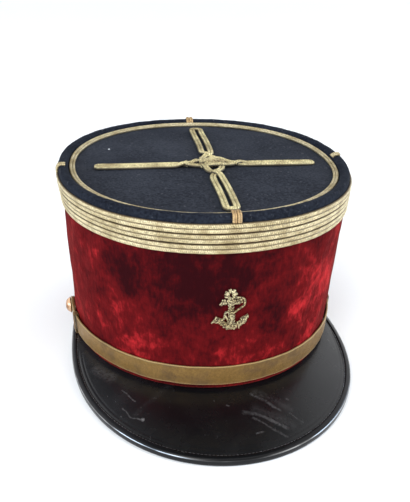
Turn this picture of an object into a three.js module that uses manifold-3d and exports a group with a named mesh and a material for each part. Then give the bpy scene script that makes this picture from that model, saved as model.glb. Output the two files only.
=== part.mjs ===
// An officer's kepi: an oval velvet wall under a flat navy crown, with gold braids, a sewn cross
// knot, a wire anchor badge, a lace chin strap on two buttons, and a black leather peak.
// Millimetres, +Z up, the front of the cap towards -Y. It stands on the edge of its peak and on
// the back of its band, and the origin is on that surface, under the middle of the cap.

import * as THREE from "three";
import { mergeVertices } from "three/addons/utils/BufferGeometryUtils.js";
import Module from "manifold-3d";

const wasm = await Module();
wasm.setup();

// Sizes that can be set one by one.
const BAND_HALF_WIDTH = 84;
const BAND_HALF_LENGTH = 99;
const BAND_LIFT = 13.7; // how far the peak lifts the front of the band above its back
const BAND_PRESS = 0.4; // how far the cloth edge gives way where it stands
const CROWN_WIDER = 2.4; // the crown's half width beyond the band's
const CROWN_SHORTER = 8.2; // the crown's half length short of the band's
const CROWN_OVAL_POWER = 2.12; // 2 is an ellipse
const CROWN_HEIGHT = 117;
const CROWN_FORWARD = 12.2; // how far the crown's centre lies in front of the band's
const CROWN_TILT_ANGLE = 1.06; // degrees, up towards the back
const WALL = 2.5;
const GAP = 0.3; // left between pieces that touch
const TOP_THICKNESS = 2;
const TOP_RISE = 0.5; // crown cloth above the top edge of the braids
const RIM_HEIGHT = 4.2;
const RIM_WIDTH = 7.3;
const RIM_CLOTH = 1.5;
const RING_WIDTH = 3.3;
const RING_HEIGHT = 2.4; // where it leans on the rim
const RING_INNER_HEIGHT = 1.1;
const BRAID_COUNT = 3;
const BRAID_HEIGHT = 5.3;
const BRAID_PITCH = 5.7;
const BRAID_DEPTH = 1.2;
const SOUTACHE_WIDTH = 3.6;
const SOUTACHE_HEIGHT = 1.4;
const TAB_WIDTH = 5.2;
const TAB_THICKNESS = 1.1;
const TAB_GROOVE = 0.4;
const KNOT_X = 3.6;
const KNOT_Y = 4.4;
const KNOT_TURN = -2.2; // degrees
const KNOT_LENGTH = 34;
const KNOT_WIDTH = 31;
const KNOT_LOOP_WIDTH = 15;
const KNOT_CORE = 13;
const LONG_ARM_WIDTH = 9.6;
const SIDE_ARM_WIDTH = 7.6;
const BADGE_HEIGHT = 26.6;
const BADGE_WIDTH = 19.2;
const BADGE_LEVEL = 52; // centre of the badge above the band's lower edge
const BADGE_SHANK_RADIUS = 1.3;
const BADGE_STOCK_RADIUS = 1;
const BADGE_ROPE_RADIUS = 0.65;
const FLUKE_THICKNESS = 1.7;
const STRAP_WIDTH = 12.4;
const STRAP_THICKNESS = 1.3;
const STRAP_BOW = 0.2; // how much the lace bulges along its middle
const STRAP_LEVEL = 8.8; // middle of the strap above the band's lower edge, at the front
const BUTTON_LEVEL = 12.9;
const BUTTON_ANGLE = 88; // degrees round from the front
const BUTTON_RADIUS = 5.6;
const BUTTON_DOME = 3;
const BUTTON_EDGE = 0.75;
const SHANK_RADIUS = 1.6;
const STRAP_TAIL = 5; // of the strap beyond the middle of each button
const SLIDE_ANGLE = 75;
const SLIDE_LENGTH = 4;
const SLIDE_THICKNESS = 0.7;
const PEAK_REACH = 47.4;
const PEAK_END_REACH = 2.6;
const PEAK_FALL_POWER = 1.85; // how fast the reach falls away to the sides
const PEAK_TURN_ANGLE = 90; // degrees to each side of the front
const PEAK_CORNER_ANGLE = 10.5; // degrees over which each end is rounded off
const PEAK_THICKNESS = 2.2;
const PEAK_CROWN = 1; // how much the leather bulges between the band and its edge
const BINDING_WIDTH = 3.3;
const BINDING_THICKNESS = 0.8;
const BINDING_ANGLE = 88; // degrees to each side of the front

// Steps round the forms.
const OVAL_STEPS = 56;
const PEAK_STEPS = 36;
const PEAK_ROWS = 6;
const STRAP_STEPS = 42;

const DEGREE = Math.PI / 180;
const FRONT = -90 * DEGREE;
const BAND_PITCH = Math.asin(BAND_LIFT / (2 * BAND_HALF_LENGTH));
const BAND_CENTRE_Y = PEAK_REACH / 2;
const BAND_CENTRE_Z = BAND_LIFT / 2 - BAND_PRESS;
const CROWN_HALF_WIDTH = BAND_HALF_WIDTH + CROWN_WIDER;
const CROWN_HALF_LENGTH = BAND_HALF_LENGTH - CROWN_SHORTER;
const CROWN_CENTRE_Y = BAND_CENTRE_Y - CROWN_FORWARD;
const CROWN_SLOPE = Math.tan(CROWN_TILT_ANGLE * DEGREE);
const TOP_UNDERSIDE = TOP_RISE - TOP_THICKNESS;

// Geometry helpers.

// Moves every vertex by a function of its place, and joins the vertices that meet.
function bent(geometry, place) {
  const spots = geometry.getAttribute("position");
  const from = new THREE.Vector3();
  for (let i = 0; i < spots.count; i++) {
    from.fromBufferAttribute(spots, i);
    const to = place(from);
    spots.setXYZ(i, to.x, to.y, to.z);
  }
  geometry.deleteAttribute("normal");
  geometry.deleteAttribute("uv");
  return mergeVertices(geometry);
}

// A closed ring with the section given by rows of [out, up], each laid in place by its angle.
function ring(rows, place, steps = OVAL_STEPS, start = 0) {
  const middle = 1000;
  const section = rows.map(([out, up]) => new THREE.Vector2(middle + out, up));
  section.push(section[0].clone());
  const lathe = new THREE.LatheGeometry(section, steps, start, 2 * Math.PI);
  lathe.rotateX(Math.PI / 2);
  return bent(lathe, (p) => place(Math.atan2(p.y, p.x), Math.hypot(p.x, p.y) - middle, p.z));
}

function toSolid(geometry) {
  const merged = bent(geometry, (p) => p);
  return new wasm.Manifold(
    new wasm.Mesh({
      numProp: 3,
      vertProperties: merged.getAttribute("position").array,
      triVerts: new Uint32Array(merged.index.array),
    }),
  );
}

function toGeometry(solid) {
  const mesh = solid.getMesh();
  const geometry = new THREE.BufferGeometry();
  geometry.setAttribute("position", new THREE.BufferAttribute(mesh.vertProperties, 3));
  geometry.setIndex(new THREE.BufferAttribute(mesh.triVerts, 1));
  return geometry;
}

function joined(geometries) {
  const solids = geometries.map(toSolid);
  return toGeometry(solids.reduce((all, one) => all.add(one)));
}

// The cap's two ovals and the surfaces between them.

function oval(angle, halfWidth, halfLength, power) {
  const c = Math.cos(angle);
  const s = Math.sin(angle);
  const x = halfWidth * Math.sign(c) * Math.abs(c) ** (2 / power);
  const y = halfLength * Math.sign(s) * Math.abs(s) ** (2 / power);
  return new THREE.Vector2(x, y);
}

// Height of the plane of the band's lower edge.
function bandPlane(y) {
  return BAND_CENTRE_Z - (y - BAND_CENTRE_Y) * Math.tan(BAND_PITCH);
}

function crownPlane(y) {
  return CROWN_HEIGHT + (y - CROWN_CENTRE_Y) * CROWN_SLOPE;
}

function bandEdge(angle) {
  const p = oval(angle, BAND_HALF_WIDTH, BAND_HALF_LENGTH * Math.cos(BAND_PITCH), 2);
  const y = BAND_CENTRE_Y + p.y;
  return new THREE.Vector3(p.x, y, bandPlane(y));
}

function crownEdge(angle) {
  const p = oval(angle, CROWN_HALF_WIDTH, CROWN_HALF_LENGTH, CROWN_OVAL_POWER);
  const y = CROWN_CENTRE_Y + p.y;
  return new THREE.Vector3(p.x, y, crownPlane(y));
}

// The direction away from the cap, square to the direction round an edge and to a second one.
function outward(edge, angle, up) {
  const step = 0.01;
  const along = edge(angle + step).sub(edge(angle - step));
  return along.cross(up).normalize();
}

// A point on the velvet's outside: level mm up the slope from the band's lower edge, out mm proud.
function onWall(angle, level, out) {
  const low = bandEdge(angle);
  const rise = crownEdge(angle).sub(low);
  const share = level / rise.length();
  const across = (a) => bandEdge(a).lerp(crownEdge(a), share);
  const point = low.clone().addScaledVector(rise, share);
  return point.addScaledVector(outward(across, angle, rise), out);
}

function wallSlope(angle) {
  return crownEdge(angle).distanceTo(bandEdge(angle));
}

// A point beside the crown's edge: out mm beyond it in the crown's plane, and up mm above it.
function onCrownEdge(angle, out, up) {
  const point = crownEdge(angle);
  point.addScaledVector(outward(crownEdge, angle, new THREE.Vector3(0, 0, 1)), out);
  point.z = crownPlane(point.y) + up;
  return point;
}

// Materials.

function finish(color, roughness, metalness) {
  return new THREE.MeshStandardMaterial({ color, roughness, metalness });
}

const velvet = finish(0x7d0f1c, 0.9, 0);
const navyCloth = finish(0x1c212b, 0.95, 0);
const goldBraid = finish(0xb59e6b, 0.55, 0.4);
const goldLace = finish(0xa8863f, 0.5, 0.5);
const brass = finish(0xb07a48, 0.4, 0.9);
const leather = finish(0x15161a, 0.3, 0);

const part = new THREE.Group();

function add(name, geometry, material) {
  const mesh = new THREE.Mesh(geometry, material);
  mesh.name = name;
  part.add(mesh);
}

// Crown wall: velvet on a stiff band, open below, closed above by the crown top.
function crownWall() {
  const levels = 4;
  const rows = [];
  for (let i = 0; i <= levels; i++) rows.push([0, i / levels]);
  for (let i = levels; i >= 0; i--) rows.push([-WALL, i / levels]);
  return ring(rows, (angle, out, share) => {
    const top = wallSlope(angle) + TOP_UNDERSIDE - GAP;
    const point = onWall(angle, share * top, out);
    point.z = Math.max(point.z, 0);
    return point;
  });
}
add("crown_wall", crownWall(), velvet);

// Crown top: a flat disc of cloth on the wall's upper edge.
function crownTop() {
  const middle = new THREE.Vector3(0, CROWN_CENTRE_Y, 0);
  const section = [
    new THREE.Vector2(0, TOP_UNDERSIDE),
    new THREE.Vector2(1, TOP_UNDERSIDE),
    new THREE.Vector2(1, TOP_RISE),
    new THREE.Vector2(0, TOP_RISE),
  ];
  const disc = new THREE.LatheGeometry(section, OVAL_STEPS);
  disc.rotateX(Math.PI / 2);
  return bent(disc, (p) => {
    const edge = onCrownEdge(Math.atan2(p.y, p.x), -RIM_CLOTH - GAP, 0);
    const point = edge.lerp(middle, 1 - Math.hypot(p.x, p.y));
    point.z = crownPlane(point.y) + p.z;
    return point;
  });
}
add("crown_top", crownTop(), navyCloth);

// Crown rim: a rolled edge of cloth. Rows of shares: in across its width, up its height.
const RIM_ROLL = [
  [0, 0.1],
  [0, 0.52],
  [0.1, 0.86],
  [0.34, 1],
  [0.68, 0.93],
  [0.9, 0.7],
];
const rimRows = RIM_ROLL.map(([inward, up]) => [-inward * RIM_WIDTH, up * RIM_HEIGHT]);

function crownRim() {
  const seat = TOP_RISE + GAP;
  const rows = [
    [0, TOP_UNDERSIDE],
    ...rimRows,
    [-RIM_WIDTH, seat],
    [-RIM_CLOTH, seat],
    [-RIM_CLOTH, TOP_UNDERSIDE],
  ];
  return ring(rows, onCrownEdge);
}
add("crown_rim", crownRim(), navyCloth);

// Two rounded ribs side by side. Rows of shares: across the braid, and up from what it lies on.
const TWO_RIBS = [
  [1, 0],
  [1, 0.55],
  [0.76, 1],
  [0.5, 0.6],
  [0.24, 1],
  [0, 0.55],
  [0, 0],
];

// Ring braid: in the corner between the rim and the crown top, so its outer edge stands higher.
function ringBraid() {
  const outer = -RIM_WIDTH - GAP;
  const seat = TOP_RISE + GAP;
  const rows = TWO_RIBS.map(([across, up]) => {
    const height = RING_INNER_HEIGHT + (RING_HEIGHT - RING_INNER_HEIGHT) * across;
    return [outer - RING_WIDTH * (1 - across), seat + height * up];
  });
  return ring(rows, onCrownEdge);
}
add("ring_braid", ringBraid(), goldBraid);

// Side braids: three rows round the top of the wall, each of two ribs.
function sideBraid(index) {
  const rows = TWO_RIBS.map(([across, up]) => [
    GAP + up * BRAID_DEPTH,
    -index * BRAID_PITCH - (1 - across) * BRAID_HEIGHT,
  ]);
  rows.reverse();
  return ring(rows, (angle, out, down) => onWall(angle, wallSlope(angle) + down, out));
}
for (let i = 0; i < BRAID_COUNT; i++) add("side_braid_" + (i + 1), sideBraid(i), goldBraid);

// Rim tabs: short pairs of ribs sewn over the rim at the ends of the cross.
// The rim's roll, seen as a line, moved away from the rim by a distance.
function aboveRim(distance) {
  return rimRows.map(([out, up], i) => {
    const [outBefore, upBefore] = rimRows[Math.max(i - 1, 0)];
    const [outAfter, upAfter] = rimRows[Math.min(i + 1, rimRows.length - 1)];
    const side = new THREE.Vector2(upAfter - upBefore, outBefore - outAfter).normalize();
    return new THREE.Vector2(out, up).addScaledVector(side, distance);
  });
}

function rimTab(angle) {
  const spans = rimRows.length - 1;
  const inner = aboveRim(GAP);
  const outer = aboveRim(GAP + TAB_THICKNESS);
  const groove = aboveRim(GAP + TAB_THICKNESS - TAB_GROOVE);
  const across = outward(crownEdge, angle, new THREE.Vector3(0, 0, 1));
  const sideways = new THREE.Vector3(-across.y, across.x, 0);
  const block = new THREE.BoxGeometry(1, 1, 1, 4, 1, spans);
  return bent(block, (p) => {
    const row = Math.round((0.5 - p.z) * spans);
    const ribbed = Math.abs(p.x) < 0.1 || Math.abs(p.x) > 0.4 ? groove : outer;
    const line = p.y > 0 ? ribbed : inner;
    const point = onCrownEdge(angle, line[row].x, line[row].y);
    return point.addScaledVector(sideways, p.x * TAB_WIDTH);
  });
}

const TABS = [
  { name: "front", angle: -90 },
  { name: "back", angle: 87.4 },
  { name: "left", angle: -176 },
  { name: "right", angle: -3 },
];
for (const tab of TABS) add("rim_tab_" + tab.name, rimTab(tab.angle * DEGREE), goldBraid);

// Cross knot: four long loops of soutache braid round a knotted middle, sewn on the crown top.

// A point above the crown cloth, from a place beside the knot's centre.
function onKnot(x, y, up) {
  const place = new THREE.Vector2(x, y).rotateAround(new THREE.Vector2(), KNOT_TURN * DEGREE);
  const worldY = KNOT_Y + place.y;
  return new THREE.Vector3(KNOT_X + place.x, worldY, crownPlane(worldY) + TOP_RISE + GAP + up);
}

function soutacheRows(lift) {
  return TWO_RIBS.map(([across, up]) => [
    (across - 0.5) * SOUTACHE_WIDTH,
    lift + up * SOUTACHE_HEIGHT,
  ]);
}

// A long loop with round ends, from one distance to another along a direction of the cross.
function loop(turn, from, to, width) {
  const endSteps = 16;
  const radius = (width - SOUTACHE_WIDTH) / 2;
  const halfStraight = (to - from - width) / 2;
  const middle = (from + to) / 2;
  const place = (angle, out, up) => {
    const c = Math.cos(angle);
    const along = middle + (radius + out) * c + halfStraight * Math.sign(c);
    const aside = (radius + out) * Math.sin(angle);
    const spot = new THREE.Vector2(along, aside).rotateAround(new THREE.Vector2(), turn);
    return onKnot(spot.x, spot.y, up);
  };
  return ring(soutacheRows(0), place, endSteps, Math.PI / endSteps);
}

// An oval loop round the knot's centre, with its own width across and length along the cap.
function ovalLoop(width, length, lift, steps) {
  const halfWidth = (width - SOUTACHE_WIDTH) / 2;
  const halfLength = (length - SOUTACHE_WIDTH) / 2;
  const place = (angle, out, up) => {
    const c = Math.cos(angle);
    const s = Math.sin(angle);
    const spot = new THREE.Vector2(halfWidth * c, halfLength * s);
    const away = new THREE.Vector2(halfLength * c, halfWidth * s).normalize();
    spot.addScaledVector(away, out);
    return onKnot(spot.x, spot.y, up);
  };
  return ring(soutacheRows(lift), place, steps);
}

// Each arm's room is the way from the knot to the ring braid, and its length a share of that.
const RING_INSET = RIM_WIDTH + GAP + RING_WIDTH + GAP;
const frontRoom = KNOT_Y - CROWN_CENTRE_Y + CROWN_HALF_LENGTH - RING_INSET;
const backRoom = CROWN_CENTRE_Y + CROWN_HALF_LENGTH - RING_INSET - KNOT_Y;
const sideRoom = CROWN_HALF_WIDTH - RING_INSET;
const longArm = { from: KNOT_LENGTH / 2 + GAP, width: LONG_ARM_WIDTH };
const sideArm = { from: KNOT_WIDTH / 2 + GAP, width: SIDE_ARM_WIDTH };
const ARMS = [
  { name: "front", turn: -90, to: 0.99 * frontRoom, ...longArm },
  { name: "back", turn: 90, to: 0.94 * backRoom, ...longArm },
  { name: "left", turn: 180, to: 0.9 * (sideRoom + KNOT_X), ...sideArm },
  { name: "right", turn: 0, to: 0.9 * (sideRoom - KNOT_X), ...sideArm },
];
for (const { name, turn, from, to, width } of ARMS) {
  add("knot_arm_" + name, loop(turn * DEGREE, from, to, width), goldBraid);
}

// Two long loops laid across each other, with a round one in the middle.
function knotCentre() {
  return joined([
    ovalLoop(KNOT_LOOP_WIDTH, KNOT_LENGTH, 0, 18),
    ovalLoop(KNOT_WIDTH, KNOT_LOOP_WIDTH, SOUTACHE_HEIGHT * 0.5, 18),
    ovalLoop(KNOT_CORE, KNOT_CORE, SOUTACHE_HEIGHT * 0.75, 10),
  ]);
}
add("knot_centre", knotCentre(), goldBraid);

// Anchor badge, drawn flat with its centre at the origin and laid on the front of the wall.

const halfBadgeWidth = BADGE_WIDTH / 2;
const halfBadgeHeight = BADGE_HEIGHT / 2;

// A round wire along a curve, through rows of shares of the badge's half width and half height.
function wire(rows, radius, steps, rise = radius) {
  const sides = 6;
  const points = rows.map(
    ([x, y]) => new THREE.Vector3(x * halfBadgeWidth, y * halfBadgeHeight, rise),
  );
  const section = new THREE.Shape(
    Array.from({ length: sides }, (_, i) => {
      const a = ((i + 0.5) / sides) * 2 * Math.PI;
      return new THREE.Vector2(radius * Math.cos(a), radius * Math.sin(a));
    }),
  );
  const extrudePath = new THREE.CatmullRomCurve3(points);
  return new THREE.ExtrudeGeometry(section, { steps, extrudePath });
}

const ANCHOR_SHANK = [
  [0.04, 0.6],
  [0, -0.84],
];
const ANCHOR_STOCK = [
  [-0.7, 0.28],
  [0.66, 0.44],
];
const ANCHOR_ARMS = [
  [-0.84, -0.56],
  [-0.5, -0.7],
  [-0.2, -0.86],
  [0.1, -0.89],
  [0.4, -0.76],
  [0.74, -0.46],
];
const ANCHOR_ROPE = [
  [0.22, 0.62],
  [0.5, 0.64],
  [0.74, 0.5],
  [0.78, 0.3],
  [0.6, 0.13],
  [0.3, 0.02],
  [-0.08, -0.1],
  [-0.34, -0.2],
  [-0.36, -0.42],
  [-0.2, -0.62],
];
const ANCHOR_FLUKES = [
  [
    [-1, -0.38],
    [-0.86, -0.82],
    [-0.54, -0.5],
  ],
  [
    [0.98, -0.26],
    [0.4, -0.42],
    [0.84, -0.7],
  ],
];

function fluke(corners) {
  const outline = corners.map(
    ([x, y]) => new THREE.Vector2(x * halfBadgeWidth, y * halfBadgeHeight),
  );
  return new THREE.ExtrudeGeometry(new THREE.Shape(outline), {
    depth: FLUKE_THICKNESS,
    bevelEnabled: false,
  });
}

function badge() {
  const shackleRadius = halfBadgeWidth * 0.28;
  const shackle = new THREE.TorusGeometry(shackleRadius, BADGE_STOCK_RADIUS, 6, 12);
  shackle.translate(
    0.05 * halfBadgeWidth,
    halfBadgeHeight - shackleRadius - BADGE_STOCK_RADIUS,
    BADGE_STOCK_RADIUS,
  );
  const flat = joined([
    shackle,
    wire(ANCHOR_SHANK, BADGE_SHANK_RADIUS, 2),
    wire(ANCHOR_STOCK, BADGE_STOCK_RADIUS, 2),
    wire(ANCHOR_ARMS, BADGE_SHANK_RADIUS, 8),
    wire(ANCHOR_ROPE, BADGE_ROPE_RADIUS, 12, BADGE_SHANK_RADIUS),
    ...ANCHOR_FLUKES.map(fluke),
  ]);
  return bent(flat, (p) =>
    onWall(FRONT + p.x / BAND_HALF_WIDTH, BADGE_LEVEL + p.y, GAP + p.z),
  );
}
add("anchor_badge", badge(), goldBraid);

// Chin strap: a band of gold lace from button to button across the front.

// The strap climbs towards the buttons, and stands off the wall where the slides go behind it.
// Places along it are in degrees round from the front.
function strapLevel(turn) {
  return STRAP_LEVEL + (BUTTON_LEVEL - STRAP_LEVEL) * (turn / BUTTON_ANGLE) ** 4;
}

function strapStandoff(turn) {
  const slideHalfAngle = SLIDE_LENGTH / BAND_HALF_LENGTH / DEGREE;
  const share = Math.min(Math.abs(turn) / (SLIDE_ANGLE - slideHalfAngle), 1);
  return GAP + (SLIDE_THICKNESS + GAP) * share ** 4;
}

function strapPoint(turn, up, out) {
  return onWall(FRONT + turn * DEGREE, strapLevel(turn) + up, strapStandoff(turn) + out);
}

// Turns and moves a shape from its own frame, x along the strap and z away from the wall.
function atStrap(geometry, turn, out) {
  const middle = strapPoint(turn, 0, out);
  const along = strapPoint(turn + 1, 0, out).sub(strapPoint(turn - 1, 0, out)).normalize();
  const away = strapPoint(turn, 0, out + 1).sub(middle).normalize();
  const up = away.clone().cross(along).normalize();
  const frame = new THREE.Matrix4().makeBasis(along, up, along.clone().cross(up));
  return geometry.applyMatrix4(frame.setPosition(middle));
}

// The strap's ends are rounded under the buttons, and slit for their shanks.
function chinStrap() {
  const endRadius = STRAP_WIDTH / 2;
  const perDegree = BAND_HALF_LENGTH * DEGREE;
  const reach = BUTTON_ANGLE + STRAP_TAIL / perDegree;
  const block = new THREE.BoxGeometry(1, 1, 1, STRAP_STEPS, 2, 1);
  const band = bent(block, (p) => {
    const turn = 2 * p.x * reach;
    const fromEnd = (reach - Math.abs(turn)) * perDegree;
    const inset = Math.max(1 - fromEnd / endRadius, 0);
    const half = endRadius * Math.sqrt(1 - 0.75 * inset * inset);
    const bow = p.y === 0 ? STRAP_BOW : 0;
    const out = p.z > 0 ? STRAP_THICKNESS + bow : 0;
    return strapPoint(turn, 2 * p.y * half, out);
  });
  const holes = [-1, 1].map((side) => {
    const radius = SHANK_RADIUS + GAP;
    const through = STRAP_THICKNESS * 6;
    const hole = new THREE.CylinderGeometry(radius, radius, through, 12).rotateX(Math.PI / 2);
    return toSolid(atStrap(hole, side * BUTTON_ANGLE, STRAP_THICKNESS / 2));
  });
  return toGeometry(holes.reduce((rest, hole) => rest.subtract(hole), toSolid(band)));
}
add("chin_strap", chinStrap(), goldLace);

// Strap slides: flat loops of braid that the strap runs through.
function strapSlide(side) {
  const halfHeight = STRAP_WIDTH / 2 + GAP;
  const halfDepth = (STRAP_THICKNESS + STRAP_BOW) / 2 + GAP;
  const frame = rectangle(halfHeight + SLIDE_THICKNESS, halfDepth + SLIDE_THICKNESS);
  frame.holes.push(rectangle(halfHeight, halfDepth));
  const slide = new THREE.ExtrudeGeometry(frame, { depth: SLIDE_LENGTH, bevelEnabled: false });
  slide.translate(0, 0, -SLIDE_LENGTH / 2);
  slide.rotateX(Math.PI / 2);
  slide.rotateZ(Math.PI / 2);
  return atStrap(slide, side * SLIDE_ANGLE, (STRAP_THICKNESS + STRAP_BOW) / 2);
}

function rectangle(halfWidth, halfHeight) {
  return new THREE.Shape([
    new THREE.Vector2(-halfWidth, -halfHeight),
    new THREE.Vector2(halfWidth, -halfHeight),
    new THREE.Vector2(halfWidth, halfHeight),
    new THREE.Vector2(-halfWidth, halfHeight),
  ]);
}

// Side buttons: a plain dome with a turned-in edge, on a shank that stands on the wall.
function sideButton(side) {
  const seat = STRAP_THICKNESS + STRAP_BOW + GAP;
  const foot = GAP - strapStandoff(BUTTON_ANGLE);
  const section = [
    new THREE.Vector2(0, foot),
    new THREE.Vector2(SHANK_RADIUS, foot),
    new THREE.Vector2(SHANK_RADIUS, seat),
    new THREE.Vector2(BUTTON_RADIUS - BUTTON_EDGE, seat),
    new THREE.Vector2(BUTTON_RADIUS, seat + BUTTON_EDGE),
  ];
  const domeSteps = 4;
  for (let i = 1; i <= domeSteps; i++) {
    const a = (i / domeSteps) * (Math.PI / 2);
    section.push(
      new THREE.Vector2(
        i === domeSteps ? 0 : BUTTON_RADIUS * Math.cos(a),
        seat + BUTTON_EDGE + (BUTTON_DOME - BUTTON_EDGE) * Math.sin(a),
      ),
    );
  }
  const button = new THREE.LatheGeometry(section, 20).rotateX(Math.PI / 2);
  return bent(atStrap(button, side * BUTTON_ANGLE, 0), (p) => p);
}

const SIDES = [
  { name: "left", side: -1 },
  { name: "right", side: 1 },
];
for (const { name, side } of SIDES) {
  add("strap_slide_" + name, strapSlide(side), goldLace);
  add("side_button_" + name, sideButton(side), brass);
}

// Peak: a leather plate under the front of the band, sloping down to the surface.

function peakReach(turn) {
  const share = Math.max(Math.cos(turn * DEGREE), 0) ** PEAK_FALL_POWER;
  const cut = 0.8; // of a full quarter round, where the leather ends
  const corner = Math.max((Math.abs(turn) - PEAK_TURN_ANGLE) / PEAK_CORNER_ANGLE + cut, 0);
  const end = Math.sqrt(1 - corner * corner);
  return PEAK_END_REACH * end + (PEAK_REACH - PEAK_END_REACH) * share;
}

const PEAK_SLOPE =
  (bandEdge(FRONT).z - 3 * GAP - PEAK_THICKNESS - BINDING_THICKNESS + BAND_PRESS) / PEAK_REACH;

// A point away mm outside the band's lower edge, up mm above the upper face of the peak.
function onPeak(turn, away, up) {
  const angle = FRONT + turn * DEGREE;
  const point = bandEdge(angle);
  point.addScaledVector(outward(bandEdge, angle, new THREE.Vector3(0, 0, 1)), away);
  const share = Math.min(Math.max(away / peakReach(turn), 0), 1);
  const beyond = Math.max(away, 0);
  const bulge = PEAK_CROWN * Math.sin(Math.PI * share) * Math.cos(turn * DEGREE);
  point.z = bandPlane(away < 0 ? point.y : bandEdge(angle).y);
  point.z += bulge - GAP - PEAK_SLOPE * beyond + up;
  return point;
}

function peak() {
  const block = new THREE.BoxGeometry(1, 1, 1, PEAK_STEPS, PEAK_ROWS + 1, 1);
  return bent(block, (p) => {
    const turn = 2 * p.x * PEAK_TURN_ANGLE;
    const row = Math.round((0.5 - p.y) * (PEAK_ROWS + 1));
    const edge = Math.max(peakReach(turn) - BINDING_THICKNESS - GAP, GAP);
    const away = row === 0 ? -WALL : (edge * (row - 1)) / PEAK_ROWS;
    return onPeak(turn, away, p.z > 0 ? 0 : -PEAK_THICKNESS);
  });
}
add("peak", peak(), leather);

// Peak binding: leather folded round the edge of the peak. The section's x is a share of the
// binding's width, in from the edge, and its y is the height above the peak's upper face.
function binding() {
  const low = -PEAK_THICKNESS - GAP;
  const fold = BINDING_THICKNESS / BINDING_WIDTH;
  const section = new THREE.Shape([
    new THREE.Vector2(1, GAP),
    new THREE.Vector2(fold, GAP),
    new THREE.Vector2(fold, low),
    new THREE.Vector2(1, low),
    new THREE.Vector2(1, low - BINDING_THICKNESS),
    new THREE.Vector2(0.2, low - BINDING_THICKNESS),
    new THREE.Vector2(0, low * 0.8),
    new THREE.Vector2(0, 0),
    new THREE.Vector2(0.2, GAP + BINDING_THICKNESS),
    new THREE.Vector2(1, GAP + BINDING_THICKNESS),
  ]);
  const strip = new THREE.ExtrudeGeometry(section, {
    depth: 1,
    steps: PEAK_STEPS,
    bevelEnabled: false,
  });
  return bent(strip, (p) => {
    const turn = (2 * p.z - 1) * BINDING_ANGLE;
    const reach = peakReach(turn);
    const width = Math.min(BINDING_WIDTH, reach - GAP);
    const point = onPeak(turn, reach - Math.max(p.x, 0) * width, p.y);
    point.z = Math.max(point.z, 0);
    return point;
  });
}
add("peak_binding", binding(), leather);

export default part;
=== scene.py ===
"""The looks of an officer's kepi: velvet, cloth, braid, lace, bullion, brass and leather.

Every form is written in millimetres in the frame of the model, and is turned to metres when its
mesh is made.
"""
import math

import bmesh
import bpy
from mathutils import Matrix, Vector


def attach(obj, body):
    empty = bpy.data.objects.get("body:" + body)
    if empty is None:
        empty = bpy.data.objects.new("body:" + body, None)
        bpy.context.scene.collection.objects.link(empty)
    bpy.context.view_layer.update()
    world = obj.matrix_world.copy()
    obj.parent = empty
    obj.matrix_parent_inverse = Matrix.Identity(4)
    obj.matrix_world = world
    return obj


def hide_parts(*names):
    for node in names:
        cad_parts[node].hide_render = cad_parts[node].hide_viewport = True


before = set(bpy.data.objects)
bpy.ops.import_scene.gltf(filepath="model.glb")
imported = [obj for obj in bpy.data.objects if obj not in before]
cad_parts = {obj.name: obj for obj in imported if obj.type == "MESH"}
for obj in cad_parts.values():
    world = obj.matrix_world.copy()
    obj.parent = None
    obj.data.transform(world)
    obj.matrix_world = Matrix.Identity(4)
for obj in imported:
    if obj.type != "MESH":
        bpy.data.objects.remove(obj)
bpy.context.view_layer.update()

# Camera: its place, the way it looks, its roll, and its focal length for a 36 mm long side.
CAMERA_PLACE = Vector((-0.0666586, -0.3488363, 0.2317812))
CAMERA_FORWARD = Vector((0.1685998, 0.8866942, -0.4305201))
CAMERA_ROLL = 0.02308
CAMERA_LENS = 44.29


def add_object(name, data):
    made = bpy.data.objects.new(name, data)
    bpy.context.scene.collection.objects.link(made)
    return made


def add_camera():
    forward = CAMERA_FORWARD.normalized()
    level = forward.cross(Vector((0, 0, 1))).normalized()
    upright = level.cross(forward)
    c, s = math.cos(CAMERA_ROLL), math.sin(CAMERA_ROLL)
    right = c * level + s * upright
    up = c * upright - s * level
    data = bpy.data.cameras.new("camera")
    data.lens = CAMERA_LENS
    data.sensor_width = 36
    data.sensor_fit = "AUTO"
    data.clip_start = 0.01
    camera = add_object("camera", data)
    turned = Matrix((right, up, -forward)).transposed().to_4x4()
    camera.matrix_world = Matrix.Translation(CAMERA_PLACE) @ turned
    bpy.context.scene.camera = camera


add_camera()

# Sizes of the cap in millimetres, as in its CAD model, apart from a rim 1.3 mm narrower.
MM = 0.001
BAND_HALF_WIDTH = 84
BAND_HALF_LENGTH = 99
BAND_LIFT = 13.7
BAND_PRESS = 0.4
CROWN_HALF_WIDTH = 86.4
CROWN_HALF_LENGTH = 90.8
CROWN_POWER = 2.12
CROWN_HEIGHT = 117
CROWN_FORWARD = 12.2
CROWN_SLOPE = math.tan(math.radians(1.06))
WALL = 2.5
GAP = 0.3
TOP_THICKNESS = 2
TOP_RISE = 0.5
RIM_WIDTH = 6
RING_WIDTH = 3.3
BRAID_COUNT = 3
BRAID_HEIGHT = 5.3
BRAID_PITCH = 5.7
BRAID_DEPTH = 1.2
KNOT_X = 3.6
KNOT_Y = 4.4
KNOT_TURN = math.radians(-2.2)
BADGE_HEIGHT = 26.6
BADGE_WIDTH = 19.2
BADGE_LEVEL = 52
STRAP_WIDTH = 12.4
STRAP_THICKNESS = 1.3
STRAP_LEVEL = 8.8
STRAP_TAIL = 5
BUTTON_LEVEL = 12.9
BUTTON_TURN = 88
SLIDE_TURN = 75
SLIDE_LENGTH = 4
SLIDE_THICKNESS = 0.7
PEAK_REACH = 47.4
PEAK_END_REACH = 2.6
PEAK_THICKNESS = 2.2
PEAK_CROWN = 1
PEAK_FALL_POWER = 1.85
PEAK_CORNER_TURN = 10.5
BINDING_WIDTH = 3.3
BINDING_THICKNESS = 0.8

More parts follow.
